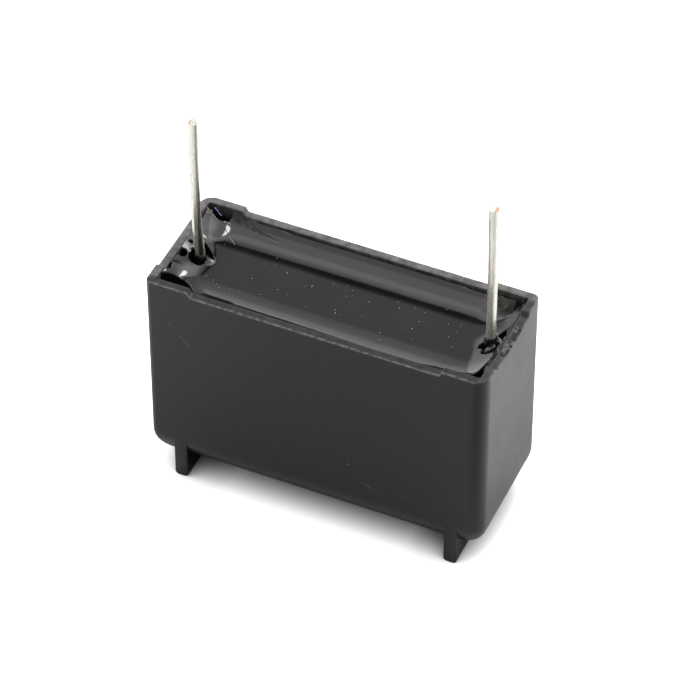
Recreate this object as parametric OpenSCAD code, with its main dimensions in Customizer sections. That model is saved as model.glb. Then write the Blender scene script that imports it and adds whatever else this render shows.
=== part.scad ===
// Box-type film capacitor for induction heating, standing on its ribs with the leads up.
// Millimetres. Z = 0 is the plane the ribs stand on, X runs along the length, Y across the thickness.

/* [Case] */
// Outside length of the case
case_length = 37; // [30:0.5:50]
// Outside thickness of the case
case_width = 14.2; // [11:0.1:20]
// Height of the case from its closed bottom to the low rim
case_height = 24.7; // [20:0.1:34]
// Wall of the case
wall = 0.9; // [0.6:0.05:1.3]
// Outside radius of the bottom edges
bottom_round = 4.2; // [2.5:0.1:5.2]
// Outside radius of the upright edges
corner_round = 1; // [0.6:0.05:2]

/* [Rim pads] */
// Height of the corner pads above the low rim
pad_height = 0.55; // [0.3:0.05:1]
// Reach of a pad along the long wall
pad_length = 4.8; // [3:0.1:8]
// Reach of a pad along the end wall
pad_width = 2.85; // [2:0.05:4.5]

/* [Standing ribs] */
// Length of a rib below the closed bottom
rib_height = 1.3; // [0.6:0.1:3]
// Thickness of a rib along the length of the case
rib_thickness = 1.45; // [1:0.05:2.5]
// Distance from the end of the case to the outer face of a rib
rib_inset = 2.6; // [1.5:0.1:5]
// Radius of the lower edges of a rib
rib_round = 0.4; // [0.1:0.05:0.5]

/* [Potting] */
// Depth of the level potting below the low rim
fill_depth = 1.4; // [1.2:0.05:2.5]
// Climb of the meniscus up the walls
meniscus_height = 1; // [0.5:0.05:1.1]
// Reach of the meniscus from the walls
meniscus_width = 2.4; // [1.5:0.1:3]
// Height of the flare round the left lead
left_flare_height = 1.1; // [0.5:0.05:1.5]
// Reach of the flare round the left lead, from the centre of the wire
left_flare_reach = 3.6; // [2:0.1:5]
// Height of the flare round the right lead
right_flare_height = 0.7; // [0.4:0.05:1.5]
// Reach of the flare round the right lead, from the centre of the wire
right_flare_reach = 2.6; // [2:0.1:5]

/* [Winding] */
// Thickness of the flattened roll
winding_thickness = 10.4; // [7:0.1:11]
// Potting over the roll
cover_above = 2.8; // [2:0.1:5]
// Potting under the roll
cover_below = 0.9; // [0.5:0.1:2]
// Thickness of the sprayed metal on the ends of the roll
spray_thickness = 0.6; // [0.4:0.05:0.9]

/* [Leads] */
// Diameter of the wire
lead_diameter = 1; // [0.8:0.05:1.2]
// Distance from the end of the case to the centre of its wire, where the wire leaves the potting
lead_inset = 2.65; // [2.2:0.05:6]
// Length of a lead above the low rim
lead_rise = 16.7; // [8:0.1:30]
// Length of wire welded along the end of the roll
weld_length = 12; // [6:0.5:14]
// Depth of the wire in the sprayed metal
weld_depth = 0.2; // [0.1:0.05:0.3]
// Sideways set of the left lead, outwards
left_set = 0.25; // [-1:0.05:1]
// Sideways set of the right lead, outwards
right_set = -0.05; // [-1:0.05:1]
// Height over which a lead takes its set
set_height = 4.6; // [4:0.1:7.5]
// Distance of the left lead from the middle plane, towards the back
left_lead_y = 0.1; // [-1:0.05:1]
// Distance of the right lead from the middle plane, towards the back
right_lead_y = 0.5; // [-1:0.05:1]
// Distance of the cut tip's ridge from the centre of the wire, outwards
tip_ridge = 0.2; // [0:0.05:0.35]
// Fall of the cut face on the inner side of the ridge
inner_cut = 10; // [0:1:45]
// Fall of the cut face on the outer side of the ridge
outer_cut = 35; // [0:1:60]

/* [Hidden] */
$fn = 64;

// Extra length of a cutter past the face that it cuts
past = 1;
// Smallest radius left on the inner upright edges of the case
least_round = 0.3;
// How far the foot of a flare runs under the level potting
flare_sink = 0.06;
// Length of a set's swept bend inside the straight wire at each end
bend_lap = 0.4;
// How far the bend's edges lie inside the round of the straight wire
bend_slack = 0.004;
// Rings along a bend, and sides of a ring
bend_rings = 14;
bend_sides = 20;

rim_z = rib_height + case_height;
cavity_length = case_length - 2 * wall;
cavity_width = case_width - 2 * wall;
cavity_round = max(bottom_round - wall, least_round);
cavity_corner = max(corner_round - wall, least_round);
floor_z = rib_height + wall;

fill_z = rim_z - fill_depth;
meniscus_radius = (pow(meniscus_width, 2) + pow(meniscus_height, 2)) / (2 * meniscus_height);
dish_margin = 2 * (meniscus_radius - meniscus_width);

lead_radius = lead_diameter / 2;
lead_pitch = case_length - 2 * lead_inset;
lead_top = rim_z + lead_rise;
spray_face = lead_pitch / 2 - lead_radius + weld_depth;
winding_length = 2 * (spray_face - spray_thickness);
winding_bottom = floor_z + cover_below;
winding_height = fill_z - cover_above - winding_bottom;
weld_bottom = winding_bottom + winding_height - weld_length;

set_z = fill_z + max(left_flare_height, right_flare_height);

// Rectangle whose two lower corners are round, standing on the X axis
module round_bottomed(width, height, radius) {
    translate([-width / 2, radius])
        square([width, height - radius]);
    translate([-width / 2 + radius, 0])
        square([width - 2 * radius, height]);
    for (side = [-1, 1])
        translate([side * (width / 2 - radius), radius])
            circle(radius);
}

// Rectangle with four round corners, centred
module round_cornered(length, width, radius) {
    square([length - 2 * radius, width], center = true);
    square([length, width - 2 * radius], center = true);
    for (x = [-1, 1], y = [-1, 1])
        translate([x * (length / 2 - radius), y * (width / 2 - radius)])
            circle(radius);
}

// Upright box with round bottom edges and round upright edges, standing on Z = 0
module tub(length, width, height, bottom_radius, corner_radius) {
    intersection() {
        rotate([90, 0, 0])
            linear_extrude(width + 2 * past, center = true)
                round_bottomed(length, height, bottom_radius);
        rotate([90, 0, 90])
            linear_extrude(length + 2 * past, center = true)
                round_bottomed(width, height, bottom_radius);
        linear_extrude(height)
            round_cornered(length, width, corner_radius);
    }
}

// Space inside the case, open at the top
module cavity(height) {
    translate([0, 0, floor_z])
        tub(cavity_length, cavity_width, height, cavity_round, cavity_corner);
}

// Rib across the closed bottom, flush with both long faces
module standing_rib(side) {
    centre = side * (case_length / 2 - rib_inset - rib_thickness / 2);
    translate([centre, 0, 0])
        rotate([90, 0, 0])
            linear_extrude(case_width, center = true)
                round_bottomed(rib_thickness, rib_height + bottom_round, rib_round);
}

// Raised pads on the four corners of the rim
module rim_pads() {
    translate([0, 0, rim_z - past])
        linear_extrude(pad_height + past)
            intersection() {
                round_cornered(case_length, case_width, corner_round);
                for (x = [-1, 1], y = [-1, 1])
                    translate([x * (case_length - pad_length) / 2, y * (case_width - pad_width) / 2])
                        square([pad_length, pad_width], center = true);
            }
}

module case() {
    color("#3c3c3e")
        difference() {
            union() {
                translate([0, 0, rib_height])
                    tub(case_length, case_width, case_height, bottom_round, corner_round);
                for (side = [-1, 1])
                    standing_rib(side);
                rim_pads();
            }
            cavity(case_height + pad_height + past);
        }
}

// Concave skirt of potting that climbs a wire
module flare(height, reach) {
    width = reach - lead_radius;
    climb = height + flare_sink;
    radius = (pow(width, 2) + pow(climb, 2)) / (2 * climb);
    rotate_extrude()
        difference() {
            translate([0, -flare_sink - past])
                square([reach, climb + past]);
            translate([reach, radius - flare_sink])
                circle(radius);
        }
}

// Level surface that turns up to the walls, as the space above it
module dish() {
    translate([0, 0, fill_z])
        tub(
            cavity_length + dish_margin,
            cavity_width + dish_margin,
            meniscus_radius + pad_height + past,
            meniscus_radius,
            corner_round
        );
}

// Potting before the inner pieces are taken out of it
module cast_block() {
    intersection() {
        cavity(case_height);
        union() {
            difference() {
                cavity(fill_z - floor_z + meniscus_height + past / 2);
                dish();
            }
            translate([-lead_pitch / 2, left_lead_y, fill_z])
                flare(left_flare_height, left_flare_reach);
            translate([lead_pitch / 2, right_lead_y, fill_z])
                flare(right_flare_height, right_flare_reach);
        }
    }
}

module potting() {
    color("#1d1b1d")
        difference() {
            cast_block();
            wound_block(spray_face);
            wire(-1, left_lead_y);
            wire(1, right_lead_y);
        }
}

// Section of the flattened roll: two flat sides and two round edges
module roll_section() {
    radius = winding_thickness / 2;
    translate([-radius, radius])
        square([winding_thickness, winding_height - winding_thickness]);
    for (z = [radius, winding_height - radius])
        translate([0, z])
            circle(radius);
}

// Roll section drawn along X from one place to another
module roll_slice(from, to) {
    translate([from, 0, winding_bottom])
        rotate([90, 0, 90])
            linear_extrude(to - from)
                roll_section();
}

// The roll with its sprayed ends, as one block
module wound_block(half_length) {
    roll_slice(-half_length, half_length);
}

module winding() {
    color("#d9d4c8")
        wound_block(winding_length / 2);
}

module end_spray_left() {
    color("#9a9a98")
        difference() {
            roll_slice(-spray_face, -winding_length / 2);
            wire(-1, left_lead_y);
        }
}

module end_spray_right() {
    color("#9a9a98")
        difference() {
            roll_slice(winding_length / 2, spray_face);
            wire(1, right_lead_y);
        }
}

// Straight stretch of wire welded to the roll and led up out of the potting
module wire(side, y) {
    translate([side * lead_pitch / 2, y, weld_bottom])
        cylinder(r = lead_radius, h = set_z - weld_bottom);
}

// Smooth step from 0 to 1
function ease(t) = t * t * (3 - 2 * t);

// Stretch of wire that moves sideways by set over set_height, starting at the origin
module wire_bend(set) {
    radius = lead_radius - bend_slack;
    span = set_height + 2 * bend_lap;
    points = [
        for (ring = [0:bend_rings], side = [0:bend_sides - 1])
            let (
                z = ring / bend_rings * span - bend_lap,
                share = min(max(z / set_height, 0), 1),
                angle = 360 * side / bend_sides
            )
            [set * ease(share) + radius * cos(angle), radius * sin(angle), z]
    ];
    sides = [
        for (ring = [0:bend_rings - 1], side = [0:bend_sides - 1])
            let (
                low = ring * bend_sides,
                high = low + bend_sides,
                next = (side + 1) % bend_sides
            )
            [low + side, high + side, high + next, low + next]
    ];
    bottom = [for (side = [0:bend_sides - 1]) side];
    top = [for (side = [bend_sides - 1:-1:0]) bend_rings * bend_sides + side];
    polyhedron(points, concat(sides, [bottom, top]));
}

// Roof that leaves the two faces of a cut tip on a wire that ends at Z = 0
module tip_roof(side, length) {
    half = lead_radius + past;
    foot = -length - past;
    ridge_x = side * tip_ridge;
    inner_z = -(half + tip_ridge) * tan(inner_cut);
    outer_z = -(half - tip_ridge) * tan(outer_cut);
    rotate([90, 0, 0])
        linear_extrude(2 * half, center = true)
            polygon([
                [-side * half, foot],
                [side * half, foot],
                [side * half, outer_z],
                [ridge_x, 0],
                [-side * half, inner_z]
            ]);
}

// Upright end of a lead, with the ridge of its cut tip at Z = 0
module lead_end(side, length) {
    intersection() {
        translate([0, 0, -length])
            cylinder(r = lead_radius, h = length);
        tip_roof(side, length);
    }
}

// Lead from its weld to its cut tip; side is -1 for the left one and 1 for the right one
module lead(side, y, set) {
    base_x = side * lead_pitch / 2;
    end_x = base_x + side * set;
    color("#c9c7c0") {
        wire(side, y);
        translate([base_x, y, set_z])
            wire_bend(side * set);
        translate([end_x, y, lead_top])
            lead_end(side, lead_top - set_z - set_height);
    }
}

module lead_left() {
    lead(-1, left_lead_y, left_set);
}

module lead_right() {
    lead(1, right_lead_y, right_set);
}

case();
potting();
winding();
end_spray_left();
end_spray_right();
lead_left();
lead_right();
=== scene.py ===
"""Looks of a box-type film capacitor: moulded case, cast potting and two tinned leads."""

import logging
import math
from dataclasses import dataclass, field
from enum import Enum
from typing import Any, Callable, Iterable, Sequence

import bmesh
import bpy
import numpy as np
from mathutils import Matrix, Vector, noise


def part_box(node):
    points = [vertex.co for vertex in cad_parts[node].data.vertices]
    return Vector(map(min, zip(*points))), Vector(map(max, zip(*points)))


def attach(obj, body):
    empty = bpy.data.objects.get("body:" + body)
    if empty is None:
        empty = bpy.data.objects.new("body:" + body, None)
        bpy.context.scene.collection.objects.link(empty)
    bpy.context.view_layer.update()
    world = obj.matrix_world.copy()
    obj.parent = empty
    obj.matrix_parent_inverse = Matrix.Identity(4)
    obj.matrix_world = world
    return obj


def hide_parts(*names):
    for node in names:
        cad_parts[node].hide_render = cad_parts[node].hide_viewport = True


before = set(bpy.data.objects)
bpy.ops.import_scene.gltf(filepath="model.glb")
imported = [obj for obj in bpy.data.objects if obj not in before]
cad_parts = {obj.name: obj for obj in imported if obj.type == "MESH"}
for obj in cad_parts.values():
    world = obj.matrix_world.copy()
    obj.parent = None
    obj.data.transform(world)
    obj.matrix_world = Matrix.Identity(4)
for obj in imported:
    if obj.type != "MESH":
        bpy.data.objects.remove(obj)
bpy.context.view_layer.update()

LOG = logging.getLogger("capacitor")
MM = 0.001
BODY = "root"
QUARTER = math.pi / 2
WHITE = (1.0, 1.0, 1.0, 1.0)
Level = np.ndarray | float
Pair = tuple[float, float]
Triple = tuple[float, float, float]
Colour = Triple
Knots = tuple[Pair, ...]
Shade = tuple[Pair, Pair, float]


class Slot(Enum):
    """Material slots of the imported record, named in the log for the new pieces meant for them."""

    CASE = "case"
    POTTING = "potting"
    WIRE = "tinned_wire"


def smooth(share: Level) -> np.ndarray:
    """Smooth step from 0 to 1 of a share that is clipped to that range."""
    clipped = np.clip(share, 0.0, 1.0)
    return clipped * clipped * (3.0 - 2.0 * clipped)


def wander(places: np.ndarray, scale: float, seed: float) -> np.ndarray:
    """Smooth noise from about -1 to 1 at each place on a level plane; seed moves the pattern."""
    shift = Vector((seed * 3.7, seed * 1.3, seed * 2.1))
    return np.array([noise.noise(Vector((x, y, 0.0)) + shift) for x, y in places * scale])


def waver(level: Level, places: np.ndarray, waves: tuple[Triple, ...]) -> np.ndarray:
    """A level with waves of noise added to it; each wave gives size, scale and seed.

    Args:
        level: level that the waves are added to.
        places: points on a level plane, one row each.
        waves: size, scale and seed of each wave.

    Returns:
        The level at each place.
    """
    for size, scale, seed in waves:
        level = level + size * wander(places, scale, seed)
    return level


def along(knots: Knots, place: np.ndarray) -> np.ndarray:
    """Value at each place of a line through knots that give place and value."""
    places, values = np.array(knots).T
    return np.interp(place, places, values)


def math_node(operation: str, swapped: bool = False) -> Callable[..., "Signal"]:
    """Make a method of Signal.

    Args:
        operation: name of the Math node's operation.
        swapped: whether the signal is the second operand.

    Returns:
        A method that adds the node for the signal and a number or another signal.
    """

    def method(signal: "Signal", other: Any = 0.0) -> "Signal":
        """Add the Math node and give its result.

        Args:
            signal: signal that the method belongs to.
            other: number or signal of the other operand.

        Returns:
            The result.
        """
        left, right = (other, signal) if swapped else (signal, other)
        made = signal.tree.node("ShaderNodeMath", {"operation": operation}, {0: left, 1: right})
        return Signal(signal.tree, made.outputs[0])

    return method


class Signal:
    """A number that varies over a surface: a shader socket that takes part in Python sums."""

    def __init__(self, tree: "NodeTree", socket: bpy.types.NodeSocket) -> None:
        """Keep the socket and the tree that it lives in."""
        self.tree = tree
        self.socket = socket

    __add__ = __radd__ = math_node("ADD")
    __mul__ = __rmul__ = math_node("MULTIPLY")
    __sub__ = math_node("SUBTRACT")
    __rsub__ = math_node("SUBTRACT", swapped=True)
    __truediv__ = math_node("DIVIDE")
    __pow__ = math_node("POWER")
    __abs__ = math_node("ABSOLUTE")
    most = math_node("MAXIMUM")

    def step(self, low: float, high: float) -> "Signal":
        """Smooth step from 0 at low to 1 at high; with high below low the step falls.

        Args:
            low: value at which it is 0.
            high: value at which it is 1.

        Returns:
            The step.
        """
        made = self.tree.node(
            "ShaderNodeMapRange",
            {"interpolation_type": "SMOOTHSTEP"},
            {"Value": self, "From Min": min(low, high), "From Max": max(low, high)},
        )
        rising = Signal(self.tree, made.outputs[0])
        return rising if low < high else 1.0 - rising


class NodeTree:
    """One node tree, for a material, the world or a modifier, with one way to add any node."""

    def __init__(self, tree: bpy.types.NodeTree) -> None:
        """Empty the tree and keep it."""
        self.tree = tree
        self.tree.nodes.clear()

    def feed(self, socket: bpy.types.NodeSocket, value: Any) -> None:
        """Link a signal or a socket into a socket, or set its plain value.

        Args:
            socket: input to fill.
            value: signal, socket or plain value.
        """
        source = value.socket if isinstance(value, Signal) else value
        if isinstance(source, bpy.types.NodeSocket):
            self.tree.links.new(source, socket)
        else:
            socket.default_value = source

    def node(
        self, kind: str, settings: dict[str, Any] | None = None, sockets: dict[Any, Any] | None = None
    ) -> bpy.types.Node:
        """Add a node.

        Args:
            kind: type name of the node.
            settings: properties set first; "stops" holds a ramp's places and grey levels.
            sockets: values or links by the name or number of an input.

        Returns:
            The new node.
        """
        made = self.tree.nodes.new(kind)
        for key, value in (settings or {}).items():
            if key == "stops":
                self._set_stops(made.color_ramp, value)
            else:
                setattr(made, key, value)
        for key, value in (sockets or {}).items():
            self.feed(made.inputs[key], value)
        return made

    @staticmethod
    def _set_stops(ramp: bpy.types.ColorRamp, stops: Sequence[Pair]) -> None:
        """Give a ramp its places and grey levels.

        Args:
            ramp: ramp with its two first elements.
            stops: place and level of each.
        """
        ramp.elements.remove(ramp.elements[1])
        first = ramp.elements[0]
        for count, (place, level) in enumerate(stops):
            element = ramp.elements.new(place) if count else first
            element.position = place
            element.color = (level, level, level, 1.0)


class Paint(NodeTree):
    """Shader tree of a material, with the patterns that several finishes share."""

    def __init__(self, name: str) -> None:
        """Make the material and its coordinates in millimetres.

        Args:
            name: name of the material.
        """
        self.material = bpy.data.materials.new(name)
        self.material.use_nodes = True
        super().__init__(self.material.node_tree)
        place = self.node("ShaderNodeTexCoord").outputs["Object"]
        scaled = self.node("ShaderNodeVectorMath", {"operation": "SCALE"}, {0: place, "Scale": 1.0 / MM})
        self.place = scaled.outputs[0]
        parts = self.node("ShaderNodeSeparateXYZ", None, {0: self.place})
        self.x, self.y, self.z = (Signal(self, output) for output in parts.outputs)

    def grain(self, scale: float, detail: float = 3.0, stretch: Triple = (1.0, 1.0, 1.0)) -> Signal:
        """Noise pattern.

        Args:
            scale: patches per millimetre.
            detail: octaves of finer noise.
            stretch: factors on the coordinates, below 1 to draw the pattern out along an axis.

        Returns:
            The noise, from 0 to 1.
        """
        drawn = self.node("ShaderNodeVectorMath", {"operation": "MULTIPLY"}, {0: self.place, 1: stretch})
        sockets = {"Vector": drawn.outputs[0], "Scale": scale, "Detail": detail}
        return Signal(self, self.node("ShaderNodeTexNoise", None, sockets).outputs["Fac"])

    def attribute(self, name: str) -> Signal:
        """Number that the mesh itself carries under a name."""
        return Signal(self, self.node("ShaderNodeAttribute", {"attribute_name": name}).outputs["Fac"])

    def mix(self, share: Signal, low: Any, high: Any) -> bpy.types.NodeSocket:
        """Colour between two colours, each a plain colour or a socket.

        Args:
            share: share of the second colour.
            low: first colour.
            high: second colour.

        Returns:
            Socket of the mixed colour.
        """
        ends = [(*end, 1.0) if isinstance(end, tuple) else end for end in (low, high)]
        made = self.node("ShaderNodeMix", {"data_type": "RGBA"}, {0: share, 6: ends[0], 7: ends[1]})
        return made.outputs[2]

    def bump(self, height: Signal, strength: float, depth: float) -> bpy.types.NodeSocket:
        """Normal of a surface with a fine relief.

        Args:
            height: relief from 0 to 1.
            strength: share of the relief that shows.
            depth: height of the relief, in millimetres.

        Returns:
            The normal.
        """
        sockets = {"Height": height, "Strength": strength, "Distance": depth * MM}
        return self.node("ShaderNodeBump", None, sockets).outputs["Normal"]

    def finish(self, **sockets: Any) -> bpy.types.Material:
        """Close the tree with a Principled shader.

        Args:
            **sockets: values or links by input name, with _ for a space.

        Returns:
            The finished material.
        """
        named = {key.replace("_", " "): value for key, value in sockets.items()}
        shader = self.node("ShaderNodeBsdfPrincipled", None, named)
        self.node("ShaderNodeOutputMaterial", None, {"Surface": shader.outputs[0]})
        return self.material


@dataclass(frozen=True)
class Scratch:
    """Faint straight mark on the front face between two places along it and up it, in millimetres."""

    start: Pair
    end: Pair
    width: float
    strength: float
    end_share: float = 0.15
    core_share: float = 0.2

    def level(self, paint: Paint, half_width: float) -> Signal:
        """Strength of the mark over a case of that half width.

        Args:
            paint: shader tree of the case.
            half_width: half the thickness of the case.

        Returns:
            The strength, which is 0 away from the mark.
        """
        (from_x, from_z), (to_x, to_z) = self.start, self.end
        length = math.hypot(to_x - from_x, to_z - from_z)
        run, rise = (to_x - from_x) / length, (to_z - from_z) / length
        across, up = paint.x - from_x, paint.z - from_z
        share = (across * run + up * rise) / length
        offset = abs(across * rise - up * run)
        ends = share.step(0.0, self.end_share) * share.step(1.0, 1.0 - self.end_share)
        broken = paint.grain(1.1, 2.0).step(0.35, 0.6)
        front = paint.y.step(0.0, -half_width)
        core = self.core_share * self.width
        return offset.step(self.width, core) * ends * broken * front * self.strength


@dataclass(frozen=True)
class MouldedPlastic:
    """Dark grey filled plastic with the fine skin of a spark-eroded mould, rubbed pale along its edges, which
    also carry a painted highlight.
    """

    colour: Colour = (0.0040, 0.0039, 0.0042)
    cloudy: float = 1.35
    cut: Colour = (0.14, 0.138, 0.135)
    worn_and_sheen: Colour = (0.22, 0.215, 0.20)
    roughness: float = 0.34
    index: float = 1.30
    speckle: float = 0.04
    torn_pale: float = 0.7
    torn_relief: float = 9.0
    relief: Pair = (0.22, 0.05)
    scratches: tuple[Scratch, ...] = (
        Scratch((-16.4, 22.0), (-13.2, 18.6), 0.09, 0.10),
        Scratch((4.15, 8.43), (7.54, 6.35), 0.12, 0.15),
        Scratch((3.80, 9.65), (3.98, 9.45), 0.10, 0.45),
        Scratch((-9.0, 15.5), (-7.9, 14.2), 0.06, 0.08),
    )

    def material(self, name: str, half_width: float) -> bpy.types.Material:
        """Make the finish.

        Args:
            name: name of the material.
            half_width: half the thickness of the case, where its front face lies.

        Returns:
            The material.
        """
        paint = Paint(name)
        skin = paint.grain(4.5, 2.0)
        cloud = paint.grain(0.22, 3.0)
        marks = paint.grain(2.6, 1.0).step(0.70, 0.78) * self.speckle
        for scratch in self.scratches:
            marks = marks.most(scratch.level(paint, half_width))
        # pale outer top edge: rubbed wear, more at the front, with a painted highlight all round
        wear = paint.attribute("wear") * paint.grain(1.7, 3.0).step(0.22, 0.72)
        rim = paint.attribute("rim") * (0.55 + 0.9 * paint.grain(1.4, 4.0).step(0.25, 0.75))
        torn = paint.attribute("torn")
        crumb = paint.grain(2.6, 3.0)
        rim = rim * (1.0 - torn) + torn * crumb.step(0.42, 0.66) * self.torn_pale
        plain = paint.mix(cloud, self.colour, tuple(self.cloudy * level for level in self.colour))
        colour = paint.mix(wear.most(marks), paint.mix(rim, plain, self.cut), self.worn_and_sheen)
        rough = self.roughness + (cloud - 0.5) * 0.10 + (skin - 0.5) * 0.10 + rim * 0.15 + torn * 0.2
        relief = skin * 0.7 + paint.grain(1.6, 1.0) * 0.3 + torn * crumb * self.torn_relief
        normal = paint.bump(relief, *self.relief)
        return paint.finish(Base_Color=colour, Roughness=rough, IOR=self.index, Normal=normal)


@dataclass(frozen=True)
class CastEpoxy:
    """Glossy black epoxy that set with a faint haze and a little dust."""

    colour: Colour = (0.0042, 0.0036, 0.0034)
    haze: Colour = (0.0075, 0.0065, 0.0060)
    skin: Colour = (0.019, 0.0165, 0.013)
    roughness: float = 0.045
    index: float = 1.5
    relief: Pair = (0.06, 0.05)

    def material(self, name: str) -> bpy.types.Material:
        """The finish as a material of that name.

        Args:
            name: name of the material.

        Returns:
            The material.
        """
        paint = Paint(name)
        cloud = paint.grain(0.35, 3.0)
        film = paint.grain(1.8, 2.0).step(0.5, 0.85)
        skin = paint.attribute("skin") * paint.grain(2.2, 3.0).step(0.25, 0.7)
        colour = paint.mix(skin, paint.mix(cloud.step(0.4, 0.8), self.colour, self.haze), self.skin)
        rough = self.roughness + cloud * 0.03 + film * 0.03 + skin * 0.4 + paint.attribute("matt") * 0.3
        normal = paint.bump(paint.grain(0.9, 1.0, (0.35, 1.0, 1.0)), *self.relief)
        return paint.finish(Base_Color=colour, Roughness=rough, IOR=self.index, Normal=normal)


@dataclass(frozen=True)
class TinnedWire:
    """Dull tin plating on drawn copper wire: pale, warm and streaked lengthwise, with painted shade on its
    flanks for the dark potting they mirror.
    """

    colour: Colour = (0.66, 0.64, 0.578)
    dull: Colour = (0.56, 0.54, 0.473)
    tarnish: Colour = (0.030, 0.026, 0.020)
    metal: float = 0.72
    roughness: float = 0.27
    relief: Pair = (0.15, 0.03)

    def material(self, name: str) -> bpy.types.Material:
        """The finish as a material of that name.

        Args:
            name: name of the material.

        Returns:
            The material.
        """
        paint = Paint(name)
        drawn = paint.grain(7.0, 3.0, (1.0, 1.0, 0.05))
        patch = paint.grain(0.8, 3.0, (1.0, 1.0, 0.35))
        bright = paint.mix((drawn * 0.5 + patch * 0.5).step(0.38, 0.66), self.dull, self.colour)
        # painted shade: a dark reflection of the potting painted into the wire's colour
        wire_shade = paint.attribute("tarnish") * (0.8 + 0.4 * drawn)
        colour = paint.mix(wire_shade, bright, self.tarnish)
        rough = self.roughness + (drawn - 0.5) * 0.18 + (patch - 0.5) * 0.16
        relief = drawn * 0.6 + paint.grain(2.4, 2.0, (1.0, 1.0, 0.3)) * 0.4
        normal = paint.bump(relief, *self.relief)
        return paint.finish(Base_Color=colour, Metallic=self.metal, Roughness=rough, Normal=normal)


@dataclass(frozen=True)
class TwoTone:
    """Finish between two colours by one noise pattern, which also drives its roughness and its relief.

    The pattern has a scale, a detail and a stretch, and edges between which it passes from low to high.
    Roughness is a level and its gain with the pattern; relief is a strength and a depth in millimetres.
    """

    name: str
    low: Colour
    high: Colour
    scale: float
    detail: float
    stretch: Triple = (1.0, 1.0, 1.0)
    edges: Pair | None = None
    metal: float = 0.0
    roughness: Pair = (0.8, 0.1)
    relief: Pair | None = None

    def material(self) -> bpy.types.Material:
        """The finish as a material.

        Returns:
            The material, under the finish's own name.
        """
        paint = Paint(self.name)
        pattern = paint.grain(self.scale, self.detail, self.stretch)
        tone = pattern.step(*self.edges) if self.edges else pattern
        level, gain = self.roughness
        sockets = {
            "Base_Color": paint.mix(tone, self.low, self.high),
            "Metallic": self.metal,
            "Roughness": level + (pattern if self.relief else tone) * gain,
        }
        if self.relief:
            sockets["Normal"] = paint.bump(pattern, *self.relief)
        return paint.finish(**sockets)


BARE_COPPER = TwoTone(
    "bare_copper", (0.264, 0.16, 0.116), (0.33, 0.20, 0.145), 16.0, 2.0, (1.0, 0.15, 1.0),
    metal=0.8, roughness=(0.45, 0.1), relief=(0.2, 0.02),
)
WOUND_FILM = TwoTone(
    "wound_film", (0.46, 0.43, 0.38), (0.70, 0.66, 0.58), 3.0, 2.0, (0.05, 2.5, 2.5),
    edges=(0.35, 0.65), roughness=(0.42, 0.1), relief=(0.3, 0.04),
)
SPRAYED_ZINC = TwoTone(
    "sprayed_zinc", (0.28, 0.28, 0.28), (0.50, 0.50, 0.49), 5.0, 4.0,
    edges=(0.3, 0.6), metal=0.9, roughness=(0.55, 0.2), relief=(0.8, 0.12),
)
DUST = TwoTone("dust", (0.12, 0.12, 0.115), (0.31, 0.30, 0.285), 0.9, 1.0, edges=(0.35, 0.65))
LINT = TwoTone("lint", (0.004, 0.003, 0.003), (0.22, 0.21, 0.19), 0.9, 1.0, edges=(0.35, 0.65))
# painted reflection: colour of a violet strand in the back left corner
VIOLET_GLINT = TwoTone(
    "violet_glint", (0.20, 0.18, 0.52), (0.40, 0.37, 0.78), 1.5, 2.0, edges=(0.3, 0.6), roughness=(0.3, 0.1)
)


@dataclass(frozen=True)
class WhitePaper:
    """Seamless white paper that stays white to the camera and in reflections, keeps the shadow and deepens it
    with a painted shadow near the part, and shows painted shade where the case mirrors it.
    """

    colour: Colour = (0.93, 0.93, 0.93)
    lift: float = 0.75
    mirrored_lift: float = 0.15
    fibre_level: float = 0.985
    end_shade: Shade = ((30.0, 18.0), (-9.0, -5.0), 0.30)
    corner_shade: Shade = ((9.0, 17.0), (-13.0, -19.0), 0.45)
    front_shade: Shade = ((-26.0, -12.0), (-7.2, -9.5), 0.20)
    shelter: float = 0.0045
    shelter_edges: Pair = (0.11, 1.0)
    fade: float = 0.72

    def _mirrored_shade(self, paint: Paint) -> Signal:
        """Painted shade that the case mirrors from the paper near its right end, its front and their corner.

        Args:
            paint: shader tree of the paper.

        Returns:
            Share of light that is missing.
        """
        shades = (self.end_shade, self.corner_shade, self.front_shade)
        end, corner, front = (
            paint.x.step(*in_x) * paint.y.step(*in_y) * level for in_x, in_y, level in shades
        )
        return end.most(corner).most(front)

    def material(self, name: str) -> bpy.types.Material:
        """The finish as a material of that name.

        Args:
            name: name of the material.

        Returns:
            The material.
        """
        paint = Paint(name)
        fibre = paint.grain(0.05, 3.0)
        tint = paint.mix(fibre, tuple(self.fibre_level * level for level in self.colour), self.colour)
        sheltered = paint.node("ShaderNodeAmbientOcclusion", {"samples": 16}, {"Distance": self.shelter})
        rays = paint.node("ShaderNodeLightPath").outputs
        kinds = ("Is Camera Ray", "Is Glossy Ray", "Is Transmission Ray")
        camera, glossy, through = (Signal(paint, rays[kind]) for kind in kinds)
        # painted shadow: ambient occlusion darkens the paper's colour and its glow near the part
        open_air = Signal(paint, sheltered.outputs["AO"]).step(*self.shelter_edges) ** self.fade
        # painted shade that only glossy rays see
        open_air = open_air * (1.0 - glossy * self._mirrored_shade(paint))
        shaded = paint.mix(open_air, (0.0, 0.0, 0.0), tint)
        paper = paint.node("ShaderNodeBsdfDiffuse", None, {"Color": shaded})
        level = (camera * self.lift + glossy.most(through) * self.mirrored_lift) * open_air
        glow = paint.node("ShaderNodeEmission", None, {"Color": WHITE, "Strength": level})
        both = paint.node("ShaderNodeAddShader", None, {0: paper.outputs[0], 1: glow.outputs[0]})
        paint.node("ShaderNodeOutputMaterial", None, {"Surface": both.outputs[0]})
        return paint.material


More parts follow.
